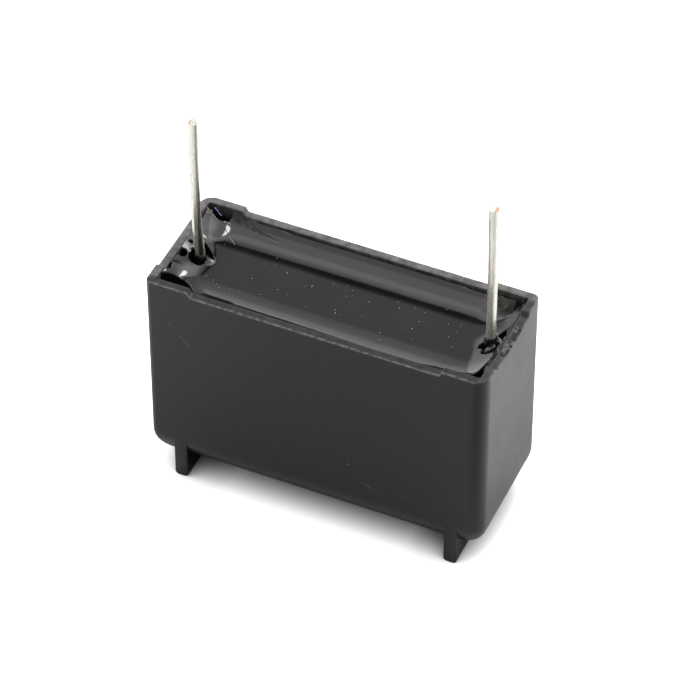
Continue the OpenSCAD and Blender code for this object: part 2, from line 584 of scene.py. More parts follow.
class GeometryTree(NodeTree):
    """Geometry Nodes tree with named inputs, run once on an object to give a plain mesh."""

    def __init__(self, name: str, **inputs: str) -> None:
        """Make the tree.

        Args:
            name: name of the tree.
            **inputs: kind of each input after the geometry, by its name with _ for a space.
        """
        super().__init__(bpy.data.node_groups.new(name, "GeometryNodeTree"))
        face = self.tree.interface
        face.new_socket("Geometry", in_out="INPUT", socket_type="NodeSocketGeometry")
        face.new_socket("Geometry", in_out="OUTPUT", socket_type="NodeSocketGeometry")
        for key, kind in {**inputs, "Material": "Material"}.items():
            face.new_socket(key.replace("_", " "), in_out="INPUT", socket_type="NodeSocket" + kind)
        self.given = self.node("NodeGroupInput").outputs

    def close(self, geometry: bpy.types.NodeSocket) -> None:
        """End the tree in Realize Instances and Set Material.

        Args:
            geometry: result of the tree's nodes so far.
        """
        real = self.node("GeometryNodeRealizeInstances", None, {0: geometry})
        sockets = {"Geometry": real.outputs[0], "Material": self.given["Material"]}
        dressed = self.node("GeometryNodeSetMaterial", None, sockets)
        self.node("NodeGroupOutput", None, {0: dressed.outputs[0]})

    def run(self, carrier: bpy.types.Object, values: dict[str, Any]) -> bpy.types.Mesh:
        """Evaluate the tree on an object.

        Args:
            carrier: object whose mesh the tree starts from.
            values: value of each named input.

        Returns:
            A plain mesh of the result.
        """
        modifier = carrier.modifiers.new(self.tree.name, "NODES")
        modifier.node_group = self.tree
        for item in self.tree.interface.items_tree:
            if item.item_type == "SOCKET" and item.in_out == "INPUT" and item.name in values:
                modifier[item.identifier] = values[item.name]
        graph = bpy.context.evaluated_depsgraph_get()
        mesh = bpy.data.meshes.new_from_object(carrier.evaluated_get(graph))
        carrier.modifiers.remove(modifier)
        return mesh


def wire_sweep() -> GeometryTree:
    """Tree that sweeps a round section along a line of edges.

    Returns:
        The tree, with inputs for the section's radius and its sides.
    """
    tree = GeometryTree("wire_sweep", Wire_Radius="Float", Sides="Int")
    path = tree.node("GeometryNodeMeshToCurve", None, {"Mesh": tree.given["Geometry"]})
    section = {"Resolution": tree.given["Sides"], "Radius": tree.given["Wire Radius"]}
    ring = tree.node("GeometryNodeCurvePrimitiveCircle", None, section)
    sockets = {"Curve": path.outputs[0], "Profile Curve": ring.outputs[0], "Fill Caps": True}
    tree.close(tree.node("GeometryNodeCurveToMesh", None, sockets).outputs[0])
    return tree


def grain_scatter() -> GeometryTree:
    """Tree that strews small uneven grains over the level parts of a mesh.

    Returns:
        The tree, with inputs for density, seed, sizes and the least upward facing.
    """
    tree = GeometryTree(
        "grain_scatter", Density="Float", Seed="Int", Least_Size="Vector", Most_Size="Vector", Level="Float"
    )
    given = tree.given
    facing = tree.node("ShaderNodeSeparateXYZ", None, {0: tree.node("GeometryNodeInputNormal").outputs[0]})
    level = tree.node(
        "FunctionNodeCompare", {"data_type": "FLOAT", "operation": "GREATER_THAN"},
        {0: facing.outputs[2], 1: given["Level"]},
    )
    surface = {"Mesh": given["Geometry"], "Selection": level.outputs[0]}
    points = tree.node(
        "GeometryNodeDistributePointsOnFaces", None,
        {**surface, "Density": given["Density"], "Seed": given["Seed"]},
    )
    grain = tree.node("GeometryNodeMeshIcoSphere", None, {"Radius": 1.0, "Subdivisions": 1})
    no_turn, most_turn = (0.0, 0.0, 0.0), (0.3, 0.3, 2.0 * math.pi)
    spans = ((given["Least Size"], given["Most Size"]), (no_turn, most_turn))
    size, turn = (
        tree.node(
            "FunctionNodeRandomValue", {"data_type": "FLOAT_VECTOR"},
            {0: least, 1: most, "Seed": given["Seed"]},
        )
        for least, most in spans
    )
    strewn = {
        "Points": points.outputs[0], "Instance": grain.outputs[0],
        "Scale": size.outputs[0], "Rotation": turn.outputs[0],
    }
    tree.close(tree.node("GeometryNodeInstanceOnPoints", None, strewn).outputs[0])
    return tree


def add_object(name: str, data: bpy.types.ID) -> bpy.types.Object:
    """Make an object and link it to the scene.

    Args:
        name: name of the object.
        data: mesh, lamp or camera that it holds.

    Returns:
        The object.
    """
    made = bpy.data.objects.new(name, data)
    bpy.context.scene.collection.objects.link(made)
    return made


def mesh_object(
    name: str, points: np.ndarray, faces: Iterable[Sequence[int]], material: bpy.types.Material | None = None
) -> bpy.types.Object:
    """Make an object from points in millimetres.

    Args:
        name: name of the object and its mesh.
        points: one row of x, y, z per point.
        faces: point numbers of each face.
        material: finish of the mesh.

    Returns:
        The object, linked to the scene.
    """
    mesh = bpy.data.meshes.new(name)
    mesh.from_pydata((np.asarray(points) * MM).tolist(), [], [list(face) for face in faces])
    if material:
        mesh.materials.append(material)
    return add_object(name, mesh)


def ring_object(name: str, rings: Sequence[np.ndarray]) -> bpy.types.Object:
    """Closed object through rings of points that follow each other, with a face at either end.

    Args:
        name: name of the object.
        rings: points of each ring, in millimetres, as many in each.

    Returns:
        The object, linked to the scene.
    """
    stations, last = len(rings[0]), (len(rings) - 1) * len(rings[0])
    ring, station = np.meshgrid(np.arange(len(rings) - 1), np.arange(stations), indexing="ij")
    low = ring * stations + station
    low_next = ring * stations + (station + 1) % stations
    sides = np.stack([low, low_next, low_next + stations, low + stations], axis=-1).reshape(-1, 4)
    ends = [list(range(stations))[::-1], [last + station for station in range(stations)]]
    return mesh_object(name, np.vstack(rings), sides.tolist() + ends)


def swept_object(
    name: str, line: np.ndarray, radius: float, sides: int, tree: GeometryTree, material: bpy.types.Material
) -> bpy.types.Object:
    """Make a round strand.

    Args:
        name: name of the object.
        line: points along its middle, in millimetres.
        radius: radius of its section, in millimetres.
        sides: number of faces round the section.
        tree: tree that sweeps a section along a line.
        material: finish of the strand.

    Returns:
        The object, linked to the scene.
    """
    carrier = mesh_object(name + "_line", line, [])
    carrier.data.edges.add(len(line) - 1)
    ends = np.c_[np.arange(len(line) - 1), np.arange(1, len(line))]
    carrier.data.edges.foreach_set("vertices", ends.ravel())
    mesh = tree.run(carrier, {"Wire Radius": radius * MM, "Sides": sides, "Material": material})
    bpy.data.objects.remove(carrier)
    return add_object(name, mesh)


def points_of(mesh: bpy.types.Mesh) -> np.ndarray:
    """Places of a mesh's points, in millimetres, one row each.

    Args:
        mesh: mesh in metres.

    Returns:
        One row of x, y, z per point.
    """
    places = np.empty(len(mesh.vertices) * 3)
    mesh.vertices.foreach_get("co", places)
    return places.reshape(-1, 3) / MM


def mark(mesh: bpy.types.Mesh, **levels: np.ndarray) -> None:
    """Write levels from 0 to 1 on a mesh's first points, for its finish to read by name.

    Args:
        mesh: mesh that takes the levels.
        **levels: levels of its first points, by their name.
    """
    for name, level in levels.items():
        values = np.zeros(len(mesh.vertices), dtype=np.float32)
        values[: level.size] = level.ravel()
        mesh.attributes.new(name, "FLOAT", "POINT").data.foreach_set("value", values)


def fuse(base: bpy.types.Object, parts: Sequence[bpy.types.Object]) -> None:
    """Unite closed meshes with a base and delete them.

    Args:
        base: object that takes the others in.
        parts: closed objects to unite with it.
    """
    for part in parts:
        modifier = base.modifiers.new("fuse", "BOOLEAN")
        modifier.operation = "UNION"
        modifier.solver = "EXACT"
        modifier.object = part
    graph = bpy.context.evaluated_depsgraph_get()
    mesh = bpy.data.meshes.new_from_object(base.evaluated_get(graph))
    base.modifiers.clear()
    base.data = mesh
    for part in parts:
        bpy.data.objects.remove(part)


def hand_over(piece: bpy.types.Object, slot: Slot, *nodes: str, sharp_angle: float | None = None) -> None:
    """Shade a piece, let it ride on the body, log the material slot meant for it and let it stand for solids.

    Args:
        piece: the finished piece.
        slot: material slot meant for it, which is only logged.
        *nodes: solids that it stands for.
        sharp_angle: bend in degrees above which an edge of a smooth piece stays sharp; None leaves it flat.
    """
    if sharp_angle is not None:
        piece.data.shade_smooth()
        piece.data.set_sharp_from_angle(angle=math.radians(sharp_angle))
    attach(piece, BODY)
    if nodes:
        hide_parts(*nodes)
    LOG.info("%s: %d faces, slot %s, stands for %s", piece.name, len(piece.data.polygons), slot.value, nodes)


@dataclass
class MouldedCase:
    """Open box with round bottom edges, four rim pads and two standing ribs; sizes in millimetres.

    Two of its upright corners are tighter by corner_gap. The rim of the right end is broken between torn_from
    and torn_to along Y; torn_runs ease that for the shape and for the finish. Waves give size, scale and
    seed. edge_wear is the level of rubbed wear and painted highlight along the outer top edge and
    the wear that the front adds; rim_levels hold for front, back, left and right. A band is a distance from a
    face and a run over which it fades; pale_edge_band is a depth and two such runs.
    """

    wall: float = 0.9
    bottom_round: float = 4.2
    corner_round: float = 1.45
    corner_gap: float = 0.78
    lower_corner_round: float = 1.9
    inner_corner_round: float = 0.3
    pad_height: float = 0.55
    pad_length: float = 4.8
    pad_width: float = 2.85
    pad_slope: float = 0.28
    rib_height: float = 1.3
    rib_thickness: float = 1.45
    rib_inset: float = 2.6
    rib_round: float = 0.4
    rib_sink: float = 0.015
    rib_end_round: float = 0.05
    edge_round: float = 0.10
    bottom_steps: int = 15
    wall_steps: int = 12
    edge_steps: int = 5
    inner_edge_steps: int = 4
    inner_wall_steps: int = 6
    inner_bottom_steps: int = 9
    rib_steps: int = 41
    rib_edge_steps: int = 7
    rim_depth: float = 1.0
    inner_rim_depth: float = 1.2
    under_rim: Triple = (0.4, 0.75, 0.94)
    over_rim: Triple = (0.25, 0.5, 0.75)
    rim_corner_share: float = 0.7
    station_step: float = 0.22
    straight_x: float = 16.3
    straight_y: float = 4.9
    torn_from: float = -2.4
    torn_to: float = 2.7
    torn_width: float = 0.16
    torn_depth: float = 0.22
    torn_slope: float = 1.6
    torn_runs: Pair = (0.5, 0.4)
    torn_band: Pair = (0.75, 0.15)
    torn_fade: float = 0.2
    torn_waves: tuple[Triple, ...] = ((0.9, 1.9, 5.0), (0.5, 5.0, 6.0))
    rim_waves: tuple[Triple, ...] = ((0.018, 0.55, 1.0), (0.012, 2.3, 2.0))
    # pale outer top edge: rubbed wear with a painted highlight all round, and the wear that the front adds
    edge_wear: Pair = (0.46, 0.28)
    pale_edge_band: Triple = (0.03, 0.14, 0.13)
    side_run: float = 0.2
    end_band: Pair = (1.2, 0.3)
    rim_fade: float = 0.25
    rim_levels: tuple[float, float, float, float] = (0.11, 0.62, 0.62, 0.22)
    finish: MouldedPlastic = field(default_factory=MouldedPlastic)

    def __post_init__(self) -> None:
        """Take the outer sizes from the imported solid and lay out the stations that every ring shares."""
        low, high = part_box("case")
        self.half_x = (high.x - low.x) / 2 / MM
        self.half_y = (high.y - low.y) / 2 / MM
        self.rim_z = high.z / MM - self.pad_height
        self.floor_z = self.rib_height + self.wall
        self.along_x = np.arange(-self.straight_x, self.straight_x + 1e-6, self.station_step)
        self.along_y = np.arange(-self.straight_y, self.straight_y + 1e-6, self.station_step)
        self.straight_share = np.array([0.33, 0.67])
        self.arc_share = np.linspace(0.0, 1.0, 11)

    def _corner(self, half_x: float, half_y: float, radius: float, reach: Pair) -> np.ndarray:
        """Points of the front right corner, from the front edge to the end edge.

        Args:
            half_x: half the outline's length.
            half_y: half the outline's width.
            radius: radius of the corner.
            reach: where the stations of the front and of the end stop.

        Returns:
            One row of x and y per point.
        """
        before = reach[0] + self.straight_share * (half_x - radius - reach[0])
        after = -(half_y - radius) + self.straight_share * (half_y - radius - reach[1])
        angle = (self.arc_share - 1.0) * QUARTER
        arc = np.c_[half_x - radius + radius * np.cos(angle), -half_y + radius + radius * np.sin(angle)]
        return np.r_[
            np.c_[before, np.full_like(before, -half_y)], arc, np.c_[np.full_like(after, half_x), after]
        ]

    def _outline(self, half_x: float, half_y: float, radius: float) -> np.ndarray:
        """Closed outline, anticlockwise from its front left, with two round corners and two tighter ones.

        Args:
            half_x: half the outline's length.
            half_y: half the outline's width.
            radius: radius of the round corners.

        Returns:
            One row of x and y per station.
        """
        scale_x = min(1.0, 0.97 * (half_x - radius) / self.straight_x)
        scale_y = min(1.0, 0.97 * (half_y - radius) / self.straight_y)
        front = np.c_[self.along_x * scale_x, np.full_like(self.along_x, -half_y)]
        end = np.c_[np.full_like(self.along_y, half_x), self.along_y * scale_y]
        reach = (self.straight_x * scale_x, self.straight_y * scale_y)
        corner = self._corner(half_x, half_y, radius, reach)
        tighter = self._corner(half_x, half_y, max(0.05, radius - self.corner_gap), reach)
        half = np.r_[front, corner, end, (tighter * (1.0, -1.0))[::-1]]
        return np.r_[half, -half]

    def _lift(self, outline: np.ndarray) -> np.ndarray:
        """Height of the rim above its low stretches at each station.

        Args:
            outline: stations, with x and y first in each row.

        Returns:
            The height at each.
        """
        to_end = self.half_x - np.abs(outline[:, 0])
        to_side = self.half_y - np.abs(outline[:, 1])
        on_long = smooth((self.pad_length - to_end) / self.pad_slope + 0.5)
        on_end = smooth((self.pad_width - to_side) / self.pad_slope + 0.5)
        return self.pad_height * np.where(to_side < to_end, on_long, on_end)

    def _rings(self) -> list[np.ndarray]:
        """Rings of points from the outer bottom, over the rim, to the floor inside.

        Returns:
            Rows of x, y, z for each ring.
        """
        rings: list[np.ndarray] = []

        def add(inset: float, radius: float, height: Level, shift: Level = 0.0) -> None:
            """Add a ring that lies an inset inside the outer faces, shifted along X."""
            ring = self._outline(self.half_x - inset, self.half_y - inset, radius)
            rings.append(np.c_[ring[:, 0] - shift, ring[:, 1], np.broadcast_to(height, len(ring))])

        def turns(radius: float, start: float, stop: float, count: int) -> list[Triple]:
            """Inset, drop and sine of each step of a quarter turn on a radius."""
            angles = np.linspace(start, stop, count)
            return [(radius * (1.0 - math.cos(a)), radius * (1.0 - math.sin(a)), math.sin(a)) for a in angles]

        outer = self._outline(self.half_x, self.half_y, self.corner_round)
        top = waver(self.rim_z + self._lift(outer), outer, self.rim_waves)
        grow = self.lower_corner_round - self.corner_round
        for inset, rise, _ in turns(self.bottom_round, QUARTER, 0.0, self.bottom_steps):
            radius = self.corner_round + grow * smooth(inset / (0.5 * self.bottom_round))
            add(inset, float(radius), self.rib_height + rise)
        wall_low, wall_high = self.rib_height + self.bottom_round, self.rim_z - self.rim_depth
        for height in np.linspace(wall_low, wall_high, self.wall_steps)[1:]:
            add(0.0, self.corner_round, height)
        for share in self.under_rim:
            add(0.0, self.corner_round, wall_high + share * (top - self.edge_round - wall_high))
        torn = self._torn(outer)
        for inset, drop, share in turns(self.edge_round, 0.0, QUARTER, self.edge_steps):
            height = top - drop - self.torn_depth * torn * share
            add(inset, self.corner_round - inset, height, self.torn_width * torn * share)
        for share in self.over_rim:
            inset = self.edge_round + share * (self.wall - 2.0 * self.edge_round)
            height = top - self.torn_width * torn * max(0.0, 1.0 - self.torn_slope * share)
            add(inset, self.corner_round - self.rim_corner_share * inset, height)
        for inset, drop, _ in turns(self.edge_round, QUARTER, 0.0, self.inner_edge_steps):
            add(self.wall - inset, self.inner_corner_round + inset, top - drop)
        inner_round = self.bottom_round - self.wall
        inner_high, inner_low = self.rim_z - self.inner_rim_depth, self.floor_z + inner_round
        for height in np.linspace(inner_high, inner_low, self.inner_wall_steps):
            add(self.wall, self.inner_corner_round, height)
        for inset, rise, _ in turns(inner_round, 0.0, QUARTER, self.inner_bottom_steps)[1:]:
            add(self.wall + inset, self.inner_corner_round, self.floor_z + rise)
        return rings

    def _torn_stretch(self, y: np.ndarray, run: float) -> np.ndarray:
        """Where along Y the right end's rim is broken, from 0 to 1, easing in over a run."""
        middle, half = (self.torn_from + self.torn_to) / 2, (self.torn_to - self.torn_from) / 2
        return smooth((half - np.abs(y - middle)) / run)

    def _torn(self, outline: np.ndarray) -> np.ndarray:
        """How far the outer edge of the right end's rim is broken away at each station, from 0 to 1."""
        inside = self._torn_stretch(outline[:, 1], self.torn_runs[0]) * (outline[:, 0] > self.half_x - 0.01)
        return inside * np.clip(waver(0.5, outline, self.torn_waves), 0.0, 1.0)

    def _rib(self, side: int) -> bpy.types.Object:
        """Closed mesh of a standing rib that reaches into the wall; side is -1 or 1.

        Args:
            side: -1 for the left rib, 1 for the right one.

        Returns:
            The rib, to fuse with the case.
        """
        half = self.rib_thickness / 2
        centre = side * (self.half_x - self.rib_inset - half)
        reach = self.half_y - self.rib_sink
        rows = []
        for turn in np.linspace(-QUARTER, QUARTER, self.rib_steps):
            y = reach * math.sin(turn)
            end_round = self.rib_end_round * (1.0 - smooth((reach - abs(y)) / self.rib_end_round)) ** 2
            inset = abs(y) - (self.half_y - self.bottom_round)
            fillet = math.sqrt(max(self.bottom_round**2 - max(inset, 0.0) ** 2, 0.0))
            high = self.rib_height + self.bottom_round - fillet + self.wall / 2
            rows.append(self._rib_section(centre, half - end_round, y, end_round, high))
        made = ring_object("rib", rows)
        turned = bmesh.new()
        turned.from_mesh(made.data)
        bmesh.ops.recalc_face_normals(turned, faces=turned.faces)
        turned.to_mesh(made.data)
        turned.free()
        return made

    def _rib_section(self, centre: float, half: float, y: float, low: float, high: float) -> np.ndarray:
        """Loop of a rib's section: flat top inside the wall, upright sides and round lower edges.

        Args:
            centre: middle of the rib along X.
            half: half its thickness there.
            y: place of the section along Y.
            low: height of its foot.
            high: height of its top.

        Returns:
            One row of x, y, z per point.
        """
        points = [(centre - half, high), (centre + half, high)]
        radius = self.rib_round
        for side, start, stop in ((1.0, 0.0, QUARTER), (-1.0, QUARTER, 0.0)):
            for turn in np.linspace(start, stop, self.rib_edge_steps):
                out = half - radius + radius * math.cos(turn)
                points.append((centre + side * out, low + radius - radius * math.sin(turn)))
        return np.array([(x, y, z) for x, z in points])

    def _mark_wear(self, mesh: bpy.types.Mesh) -> None:
        """Write how worn (with a painted edge highlight), pale and torn each point of the case is, from 0 to
        1, for the finish to read.

        Args:
            mesh: mesh of the case with its ribs.
        """
        places = points_of(mesh)
        x, y, z = places.T
        below_top = self.rim_z + self._lift(places) - z
        outer = np.maximum(np.abs(x) - self.half_x, np.abs(y) - self.half_y)
        deep, across, down = self.pale_edge_band
        on_edge = smooth(1.0 - np.abs(outer + deep) / across) * smooth(1.0 - np.abs(below_top - deep) / down)
        run = self.side_run
        front, back = (smooth((toward * y - self.half_y + self.wall + run) / run) for toward in (-1.0, 1.0))
        band, fade = self.end_band
        left, right = (smooth((toward * x - self.half_x + band) / fade) for toward in (-1.0, 1.0))
        # painted highlight and rubbed wear along the whole outer top edge, with more wear at the front
        wear = on_edge * (self.edge_wear[0] + self.edge_wear[1] * front)
        sides = (front, back, left * (1.0 - front), right)
        level = np.maximum.reduce([pale * side for pale, side in zip(self.rim_levels, sides)])
        rim = level * smooth(1.0 - below_top / self.rim_fade) * (outer > -self.wall - run)
        band, fade = self.torn_band
        torn = self._torn_stretch(y, self.torn_runs[1]) * smooth((x - self.half_x + band) / fade)
        torn = torn * smooth(1.0 - (below_top - self.torn_fade) / self.torn_fade)
        mark(mesh, wear=wear, rim=rim, torn=torn)

    def build(self) -> bpy.types.Object:
        """Make the case and give the finished piece.

        Returns:
            The piece moulded_case.
        """
        piece = ring_object("moulded_case", self._rings())
        fuse(piece, [self._rib(side) for side in (-1, 1)])
        self._mark_wear(piece.data)
        piece.data.materials.clear()
        piece.data.materials.append(self.finish.material("moulded_plastic", self.half_y))
        hand_over(piece, Slot.CASE, "case", sharp_angle=40.0)
        return piece


@dataclass(frozen=True)
class Pit:
    """Hole in the potting: centre, half widths, depth, turn in degrees and its edge's width as a share."""

    x: float
    y: float
    half_x: float
    half_y: float
    depth: float
    turn: float = 0.0
    rim: float = 0.35

    def reach_at(self, x: np.ndarray, y: np.ndarray) -> np.ndarray:
        """Distance from the centre at each place, as a share of the half widths.

        Args:
            x: places along X, in millimetres.
            y: places along Y, in millimetres.

        Returns:
            The distance, which is 1 at the hole's edge.
        """
        angle = math.radians(self.turn)
        across = (x - self.x) * math.cos(angle) + (y - self.y) * math.sin(angle)
        lengthwise = (y - self.y) * math.cos(angle) - (x - self.x) * math.sin(angle)
        return np.hypot(across / self.half_x, lengthwise / self.half_y)

    def depth_at(self, x: np.ndarray, y: np.ndarray) -> np.ndarray:
        """Depth of the hole at each place."""
        return self.depth * smooth((1.0 + self.rim / 2 - self.reach_at(x, y)) / self.rim)


@dataclass(frozen=True)
class Blister(Pit):
    """Bubble that set under the skin: a low dome of the given depth as its height, with a groove round it."""

    groove: float = 0.35
    groove_width: float = 0.16

    def height_at(self, x: np.ndarray, y: np.ndarray) -> np.ndarray:
        """Height of the dome, less its groove, at each place.

        Args:
            x: places along X, in millimetres.
            y: places along Y, in millimetres.

        Returns:
            The height, below 0 in the groove.
        """
        reach = self.reach_at(x, y)
        dome = self.depth * np.clip(1.0 - reach**2, 0.0, 1.0)
        return dome - self.groove * np.exp(-(((reach - 1.0) / self.groove_width) ** 2))


@dataclass(frozen=True)
class Brink:
    """Line at which the potting breaks off short of a wall; its knots give place along and place across."""

    knots: Knots
    along_x: bool
    side: float
    depth: float
    width: float
    roll: float = 0.0
    roll_width: float = 0.35

    def depth_at(self, x: np.ndarray, y: np.ndarray) -> np.ndarray:
        """Depth of the drop at each place, with the shoulder that rolls over before it.

        Args:
            x: places along X, in millimetres.
            y: places along Y, in millimetres.

        Returns:
            The depth, which is 0 well before the line.
        """
        lengthwise, across = (x, y) if self.along_x else (y, x)
        past = self.side * (across - along(self.knots, lengthwise))
        shoulder = self.roll * np.exp(-np.clip(-past, 0.0, None) / self.roll_width)
        return self.depth * smooth(past / self.width) + shoulder


@dataclass(frozen=True)
class Flare:
    """Low swelling round a lead: centre, reach and height."""

    x: float
    y: float
    reach: float
    height: float

    def height_at(self, x: np.ndarray, y: np.ndarray) -> np.ndarray:
        """Height of the swelling at each place."""
        return self.height * smooth(1.0 - np.hypot(x - self.x, y - self.y) / self.reach)


@dataclass(frozen=True)
class Corner:
    """Epoxy drawn up into a corner: direction, where it starts along it, its bend, and its limits along Y."""

    toward_x: float
    toward_y: float
    start: float
    bend: float
    limit: float
    run: float

    def height_at(self, x: np.ndarray, y: np.ndarray) -> np.ndarray:
        """Height of the drawn-up epoxy at each place."""
        past = np.clip(x * self.toward_x + y * self.toward_y - self.start, 0.0, None)
        return self.bend * past**2 * smooth((y - self.limit) / self.run)


@dataclass(frozen=True)
class Collar:
    """Steep foot of epoxy drawn up a lead: place, heights of top and foot, radius and width of its slope."""

    x: float
    y: float
    top: float
    foot: float
    radius: float
    width: float

    def level_at(self, x: np.ndarray, y: np.ndarray) -> np.ndarray:
        """Height of the foot of epoxy at each place."""
        share = smooth((np.hypot(x - self.x, y - self.y) - self.radius) / self.width)
        return self.top - (self.top - self.foot) * share


@dataclass
class CastPotting:
    """Epoxy poured into the case, with its meniscus, flares at the leads and holes; sizes in millimetres.

    A climb is the height of the meniscus at a wall and a reach its width. A pair for the right wall holds its
    front and back values. Fades, turns, starts and ends give a place and a run, and so do back_rise after
    a height and left_corner after two reaches. left_reach and right_reach hold the swelling round a lead.
    shelf holds an edge, a height and two ends, and each of shelf_waves a size, a rate and a phase.
    """

    fill_depth: float = 1.4
    pad_height: float = 0.55
    wall_lap: float = 0.02
    grid_step: float = 0.08
    bottom_round: float = 3.3
    bottom_steps: int = 8
    onset: float = 0.06
    least_reach: float = 0.05
    top_share: float = 1.05
    front_climb: Knots = (
        (-14.0, 1.02), (-3.0, 0.97), (6.0, 0.89), (12.5, 0.92), (15.0, 0.65), (17.6, 0.45),
    )
    front_reach: float = 3.7
    back_climb: float = 1.24
    back_reach: Pair = (4.0, 0.25)
    back_fade: Pair = (12.9, 3.9)
    fade_power: float = 0.85
    back_rise: Triple = (0.5, 12.8, 1.8)
    left_climb: float = 1.25
    left_reach: Triple = (3.8, -0.3, 3.6)
    left_corner: tuple[float, float, float, float] = (2.2, 4.6, 2.2, 2.6)
    left_blend: int = 6
    right_climb: Pair = (0.72, 0.38)
    right_power: Pair = (1.25, 1.9)
    right_turn: Pair = (1.0, 2.0)
    right_reach: Triple = (2.75, 0.65, 1.3)
    shelf: tuple[float, float, float, float] = (17.2, 25.78, -4.9, 5.6)
    shelf_waves: tuple[Triple, ...] = ((0.06, 2.1, 0.0), (0.04, 5.3, 1.0))
    shelf_runs: Triple = (0.14, 0.6, 0.4)
    shelf_slope: float = 0.1
    shelf_drop: float = 6.0
    side_blend: float = 1.5
    front_blend: int = 3
    height_limit: Pair = (1.6, 1.85)
    limit_turn: Pair = (13.3, 0.8)
    limit_power: int = 8
    sheet_edge: Knots = (
        (0.0, -13.43), (0.42, -13.06), (0.72, -12.52), (0.92, -11.82), (1.15, -10.92), (1.27, -9.66),
        (2.2, -7.0),
    )
    sheet_foot: float = 0.9
    sheet_step: float = 0.25
    crease: float = 0.18
    crease_run: float = 0.15
    bare_bend: float = 1.35
    edge_crease: float = 0.081
    edge_width: float = 0.09
    edge_end: Pair = (1.5, 0.7)
    skin_run: float = 0.2
    skin_start: Pair = (-15.3, 0.3)
    skin_end: Pair = (-12.9, 0.5)
    corners: tuple[Corner, ...] = (
        Corner(-0.913, -0.408, 13.2, 0.045, -0.5, -3.0), Corner(-0.707, 0.707, 14.4, 0.06, 1.0, 2.0),
        Corner(0.6, -0.8, 11.0, 0.05, 0.0, -1.0), Corner(0.6, 0.8, 12.7, 0.12, 2.0, 1.0),
    )
    flares: tuple[Flare, ...] = (Flare(-14.75, 0.05, 0.8, 0.26),)
    blisters: tuple[Blister, ...] = (Blister(16.25, -0.42, 0.85, 0.45, 0.16, 63.0),)
    matt_spots: tuple[Pit, ...] = (
        Pit(-14.35, -4.6, 1.2, 2.3, 1.0, 12.0, 0.6), Pit(-16.7, -1.6, 0.9, 0.8, 1.0, 0.0, 0.8),
    )
    front_brink: Brink = Brink(
        (
            (-17.7, -5.2), (-17.06, -4.5), (-16.66, -4.05), (-16.29, -3.92), (-15.87, -3.93), (-15.35, -4.0),
            (-14.87, -4.32), (-14.35, -4.85), (-13.95, -5.3), (-13.6, -5.85), (-13.45, -6.6), (-13.0, -9.0),
            (17.7, -9.0),
        ),
        True, -1.0, 2.6, 0.4, 0.09,
    )
    right_brink: Brink = Brink(
        (
            (-6.3, 14.4), (-5.75, 14.9), (-5.4, 15.6), (-4.9, 16.15), (-4.3, 16.45), (-3.2, 16.7),
            (-2.46, 16.85), (-1.7, 16.95), (-0.95, 17.1), (0.5, 17.25), (1.0, 17.0), (1.35, 16.55),
            (1.6, 16.2), (2.1, 16.3), (2.7, 16.55), (3.5, 16.9), (4.2, 17.1), (5.0, 17.2), (6.3, 17.35),
        ),
        False, 1.0, 1.5, 0.3,
    )
    back_brink: Brink = Brink(
        (
            (-13.2, 6.7), (-12.7, 6.3), (-12.0, 6.08), (-6.0, 6.02), (10.0, 5.98), (13.5, 5.93), (15.5, 5.86),
            (16.6, 5.9), (17.3, 6.15), (17.7, 6.6),
        ),
        True, 1.0, 1.2, 0.12,
    )
    pits: tuple[Pit, ...] = (
        Pit(-15.85, -0.42, 0.74, 0.74, 2.4, 12.0),
        Pit(-16.55, 0.15, 0.16, 0.34, 1.4, 20.0),
        Pit(-15.35, 1.12, 1.1, 0.22, 1.8, -44.0, 0.5),
        Pit(-17.2, 0.97, 0.17, 0.17, 0.9, 20.0, 0.6),
        Pit(-17.6, -3.75, 0.36, 0.62, 1.2),
        Pit(-17.3, -0.92, 0.40, 0.56, 1.3, -20.0),
        Pit(-17.66, -2.3, 0.14, 1.0, 0.5),
        Pit(-16.0, 6.1, 0.95, 0.85, 2.4, 0.0),
        Pit(-17.68, 4.8, 0.16, 0.7, 0.6),
        Pit(-17.32, 6.15, 0.3, 0.42, 0.8, 0.0, 0.9),
        Pit(15.78, 0.12, 0.9, 0.43, 1.9, 48.0),
    )
    collars: tuple[Collar, ...] = (
        Collar(-15.77, 0.1, 25.3, 22.6, 0.5, 0.5),
        Collar(15.9, 0.5, 25.75, 23.4, 0.5, 0.6),
    )
    finish: CastEpoxy = field(default_factory=CastEpoxy)

    def __post_init__(self) -> None:
        """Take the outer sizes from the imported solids."""
        low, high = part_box("potting")
        self.half_x = (high.x - low.x) / 2 / MM
        self.half_y = (high.y - low.y) / 2 / MM
        self.floor_z = low.z / MM
        self.fill_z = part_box("case")[1].z / MM - self.pad_height - self.fill_depth

    def _climb(self, distance: np.ndarray, height: Any, reach: Any, power: Any = 2.0) -> np.ndarray:
        """Height of a meniscus at a distance from its wall, with a soft foot.

        Args:
            distance: distance from the wall at each place.
            height: height at the wall, one number or one for each place.
            reach: width of the meniscus, likewise.
            power: bend of its profile, likewise.

        Returns:
            The height at each place.
        """
        share = 1.0 - distance / np.maximum(reach, self.least_reach)
        eased = (share + np.sqrt(share**2 + self.onset**2)) / 2.0
        return height * np.clip(eased, 0.0, self.top_share) ** power

    def _right_climb(self, x: np.ndarray, y: np.ndarray) -> np.ndarray:
        """Height of the right wall's meniscus, which swells round the lead and lies lower at the back.

        Args:
            x: places along X, in millimetres.
            y: places along Y, in millimetres.

        Returns:
            The height at each place.
        """
        turned = smooth((y - self.right_turn[0]) / self.right_turn[1])
        climb, power = (low + (high - low) * turned for low, high in (self.right_climb, self.right_power))
        reach, swell, half = self.right_reach
        return self._climb(self.half_x - x, climb, reach + swell * np.exp(-((y / half) ** 2)), power)

